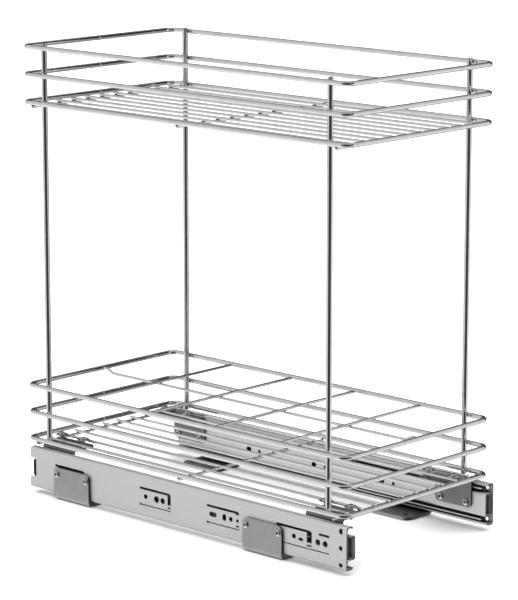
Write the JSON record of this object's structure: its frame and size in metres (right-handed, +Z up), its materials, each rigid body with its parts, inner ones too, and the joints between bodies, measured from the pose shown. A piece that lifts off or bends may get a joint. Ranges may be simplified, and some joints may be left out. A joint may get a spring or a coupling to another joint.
{
  "type": "pull-out bottle rack",
  "caption": "Tiered chrome wire pull-out rack with bottle bays in its lower basket, carried on full-extension ball slides with floor brackets for a base cabinet.",
  "frame": {"origin": "middle of the footprint, on the cabinet floor under the floor brackets", "axes": "+Z up, -Y is the front end that pulls out of the cabinet, +X is the right-hand slide seen from the front"},
  "size_m": [0.2354, 0.458, 0.48],
  "materials": {
    "chrome_wire": "bright plated, polished",
    "zinc_rail": "zinc plated, satin",
    "cage_strip": "oiled strip",
    "ball_steel": "polished",
    "bumper_rubber": "matte",
    "screw_steel": "zinc plated",
    "floor_bracket_paint": "grey coat, satin",
    "corner_bracket_paint": "dark grey coat, satin"
  },
  "bodies": {
    "cabinet_side": {"floor_bracket_front_left": "floor_bracket_paint", "floor_bracket_front_right": "floor_bracket_paint", "floor_bracket_rear_left": "floor_bracket_paint", "floor_bracket_rear_right": "floor_bracket_paint", "floor_bracket_screws": "screw_steel", "outer_rail_left": "zinc_rail", "outer_rail_right": "zinc_rail", "rear_bumper_left": "bumper_rubber", "rear_bumper_right": "bumper_rubber"},
    "middle_rail_left": {"middle_rail_left": "zinc_rail"},
    "outer_cage_left": {"outer_cage_left": "cage_strip", "outer_balls_left": "ball_steel"},
    "inner_cage_left": {"inner_cage_left": "cage_strip", "inner_balls_left": "ball_steel"},
    "middle_rail_right": {"middle_rail_right": "zinc_rail"},
    "outer_cage_right": {"outer_cage_right": "cage_strip", "outer_balls_right": "ball_steel"},
    "inner_cage_right": {"inner_cage_right": "cage_strip", "inner_balls_right": "ball_steel"},
    "basket": {"basket_clamp_screws": "screw_steel", "corner_bracket_front_left": "corner_bracket_paint", "corner_bracket_front_right": "corner_bracket_paint", "corner_bracket_rear_left": "corner_bracket_paint", "corner_bracket_rear_right": "corner_bracket_paint", "corner_bracket_screws": "screw_steel", "cross_divider_1": "chrome_wire", "cross_divider_2": "chrome_wire", "cross_divider_3": "chrome_wire", "cross_divider_4": "chrome_wire", "inner_rail_left": "zinc_rail", "inner_rail_right": "zinc_rail", "long_divider": "chrome_wire", "lower_cross_wire_front": "chrome_wire", "lower_cross_wire_middle": "chrome_wire", "lower_cross_wire_rear": "chrome_wire", "lower_floor_wires": "chrome_wire", "lower_ring_bottom": "chrome_wire", "lower_ring_middle": "chrome_wire", "lower_ring_top": "chrome_wire", "post_front_left": "chrome_wire", "post_front_right": "chrome_wire", "post_rear_left": "chrome_wire", "post_rear_right": "chrome_wire", "upper_cross_wire_front": "chrome_wire", "upper_cross_wire_middle": "chrome_wire", "upper_cross_wire_rear": "chrome_wire", "upper_floor_wires": "chrome_wire", "upper_ring_bottom": "chrome_wire", "upper_ring_middle": "chrome_wire", "upper_ring_top": "chrome_wire"}
  },
  "joints": [
    {"name": "basket_slide", "type": "slide", "parent": "cabinet_side", "child": "basket", "axis": [0, -1, 0], "range_m": [0, 0.44]},
    {"name": "middle_rail_left_slide", "type": "slide", "parent": "cabinet_side", "child": "middle_rail_left", "axis": [0, -1, 0], "range_m": [0, 0.22]},
    {"name": "outer_cage_left_slide", "type": "slide", "parent": "cabinet_side", "child": "outer_cage_left", "axis": [0, -1, 0], "range_m": [0, 0.11]},
    {"name": "inner_cage_left_slide", "type": "slide", "parent": "cabinet_side", "child": "inner_cage_left", "axis": [0, -1, 0], "range_m": [0, 0.33]},
    {"name": "middle_rail_right_slide", "type": "slide", "parent": "cabinet_side", "child": "middle_rail_right", "axis": [0, -1, 0], "range_m": [0, 0.22]},
    {"name": "outer_cage_right_slide", "type": "slide", "parent": "cabinet_side", "child": "outer_cage_right", "axis": [0, -1, 0], "range_m": [0, 0.11]},
    {"name": "inner_cage_right_slide", "type": "slide", "parent": "cabinet_side", "child": "inner_cage_right", "axis": [0, -1, 0], "range_m": [0, 0.33]}
  ],
  "couplings": [
    {"joint": "middle_rail_left_slide", "follows": "basket_slide", "ratio": 0.5},
    {"joint": "outer_cage_left_slide", "follows": "basket_slide", "ratio": 0.25},
    {"joint": "inner_cage_left_slide", "follows": "basket_slide", "ratio": 0.75},
    {"joint": "middle_rail_right_slide", "follows": "basket_slide", "ratio": 0.5},
    {"joint": "outer_cage_right_slide", "follows": "basket_slide", "ratio": 0.25},
    {"joint": "inner_cage_right_slide", "follows": "basket_slide", "ratio": 0.75}
  ]
}
